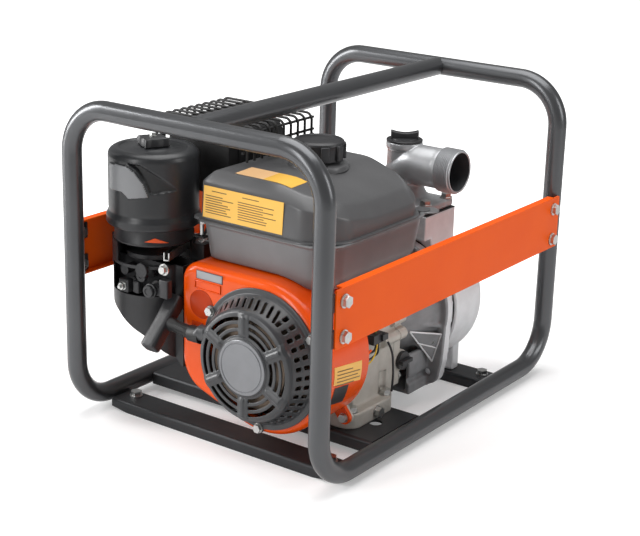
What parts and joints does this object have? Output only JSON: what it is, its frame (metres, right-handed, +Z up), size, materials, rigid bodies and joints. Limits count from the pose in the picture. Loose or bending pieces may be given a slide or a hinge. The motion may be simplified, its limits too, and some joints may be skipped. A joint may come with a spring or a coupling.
{
  "type": "engine-driven trash pump",
  "caption": "Petrol engine driven centrifugal trash pump bolted inside a tubular roll frame, with threaded suction and discharge ports.",
  "frame": {"origin": "on the ground under the middle of the roll frame", "axes": "+X to the right side with the discharge outlet, +Y to the suction end, +Z up"},
  "size_m": [0.4312, 0.5694, 0.4287],
  "materials": {
    "frame_paint": "satin dark grey paint",
    "rail_paint": "satin black paint",
    "orange_paint": "semi-gloss orange paint",
    "zinc_steel": "zinc plated",
    "engine_casting": "as die cast",
    "inner_steel": "ground and machined",
    "inner_casting": "machined casting",
    "pump_casting": "bead blasted casting",
    "black_plastic": "moulded",
    "cleaner_plastic": "moulded, fine grain",
    "cover_plastic": "moulded",
    "tank_upper_plastic": "moulded, satin",
    "tank_lower_plastic": "moulded, satin",
    "black_steel": "heat resistant matt black paint",
    "rubber": "moulded",
    "rope": "braided",
    "filter_foam": "open cell foam"
  },
  "bodies": {
    "machine": {"air_cleaner_base": "black_plastic", "air_cleaner_cover": "cleaner_plastic", "air_filter_element": "filter_foam", "carburettor": "engine_casting", "carry_bar": "frame_paint", "control_bracket": "zinc_steel", "control_housing": "black_plastic", "crankcase": "engine_casting", "crankcase_cover": "engine_casting", "cylinder_head": "engine_casting", "discharge_elbow": "pump_casting", "drain_plug": "zinc_steel", "engine_plate": "rail_paint", "engine_wires": "black_plastic", "fan_shroud": "orange_paint", "frame_bolts": "zinc_steel", "front_hoop": "frame_paint", "front_rail": "rail_paint", "fuel_tank_lower": "tank_lower_plastic", "fuel_tank_upper": "tank_upper_plastic", "gaskets": "rubber", "ignition_coil": "black_plastic", "m6_screws": "zinc_steel", "main_bearings": "inner_steel", "muffler": "black_steel", "muffler_guard": "black_steel", "oil_drain_bolt": "zinc_steel", "piston": "inner_casting", "pump_bolts": "zinc_steel", "pump_bracket": "pump_casting", "pump_casing": "pump_casting", "rear_hoop": "frame_paint", "rear_rail": "rail_paint", "recoil_cover": "cover_plastic", "recoil_spring": "inner_steel", "rocker_cover": "black_steel", "shaft_seals": "rubber", "side_panel_left": "orange_paint", "side_panel_right": "orange_paint", "spark_plug": "black_plastic", "starter_rope": "rope", "suction_flange": "pump_casting", "volute": "inner_casting"},
    "crank_assembly": {"crankshaft": "inner_steel", "flywheel": "inner_casting", "cooling_fan": "black_plastic", "starter_cup": "inner_steel", "impeller": "inner_casting"},
    "cam": {"camshaft": "inner_steel"},
    "rope_reel": {"recoil_reel": "black_plastic"},
    "pull_grip": {"starter_grip": "black_plastic"},
    "throttle": {"throttle_lever": "zinc_steel"},
    "governor": {"governor_arm": "zinc_steel"},
    "choke": {"choke_lever": "black_plastic"},
    "fuel_cock": {"fuel_cock_lever": "black_plastic"},
    "tank_cap": {"fuel_cap": "black_plastic"},
    "primer_cap": {"priming_cap": "black_plastic"},
    "oil_cap": {"oil_dipstick": "black_plastic"},
    "cleaner_knob": {"air_cleaner_knob": "black_plastic"},
    "non_return_flap": {"check_valve_flap": "rubber"}
  },
  "joints": [
    {"name": "crank_spin", "type": "hinge", "parent": "machine", "child": "crank_assembly", "pos_m": [0.068, -0.2, 0.131], "axis": [0, 1, 0], "continuous": true},
    {"name": "cam_spin", "type": "hinge", "parent": "machine", "child": "cam", "pos_m": [0.045, -0.07, 0.07515], "axis": [0, 1, 0], "continuous": true},
    {"name": "starter_pull", "type": "slide", "parent": "machine", "child": "pull_grip", "axis": [-0.3015, -0.9045, 0.3015], "range_m": [0, 0.6], "stiffness_N_per_m": 8, "springref_m": -0.3, "deforming": ["starter_rope"]},
    {"name": "reel_spin", "type": "hinge", "parent": "machine", "child": "rope_reel", "pos_m": [0.068, -0.238, 0.131], "axis": [0, -1, 0], "range_deg": [0, 780]},
    {"name": "throttle_turn", "type": "hinge", "parent": "machine", "child": "throttle", "pos_m": [-0.108, -0.136, 0.229], "axis": [0, 0, 1], "range_deg": [-30, 1]},
    {"name": "governor_turn", "type": "hinge", "parent": "machine", "child": "governor", "pos_m": [-0.088, -0.136, 0.229], "axis": [0, 0, 1], "range_deg": [-12, 12]},
    {"name": "choke_turn", "type": "hinge", "parent": "machine", "child": "choke", "pos_m": [-0.112, -0.216, 0.203], "axis": [0, 1, 0], "range_deg": [-34, 2]},
    {"name": "fuel_cock_turn", "type": "hinge", "parent": "machine", "child": "fuel_cock", "pos_m": [-0.092, -0.216, 0.189], "axis": [0, 1, 0], "range_deg": [-80, 0]},
    {"name": "tank_cap_turn", "type": "hinge", "parent": "machine", "child": "tank_cap", "pos_m": [0.0375, -0.07, 0.35], "axis": [0, 0, 1], "range_deg": [0, 90]},
    {"name": "primer_cap_turn", "type": "hinge", "parent": "machine", "child": "primer_cap", "pos_m": [0.06, 0.094, 0.35], "axis": [0, 0, 1], "range_deg": [0, 180]},
    {"name": "oil_cap_turn", "type": "hinge", "parent": "machine", "child": "oil_cap", "pos_m": [0.131, -0.003, 0.08], "axis": [1, 0, 0], "range_deg": [0, 360]},
    {"name": "cleaner_knob_turn", "type": "hinge", "parent": "machine", "child": "cleaner_knob", "pos_m": [-0.1325, -0.19, 0.36], "axis": [0, 0, 1], "range_deg": [0, 360]},
    {"name": "flap_swing", "type": "hinge", "parent": "machine", "child": "non_return_flap", "pos_m": [0.068, 0.145, 0.182], "axis": [-1, 0, 0], "range_deg": [0, 15]}
  ],
  "couplings": [
    {"joint": "cam_spin", "follows": "crank_spin", "ratio": -0.5},
    {"joint": "reel_spin", "follows": "starter_pull", "rad_per_m": 22.573}
  ]
}
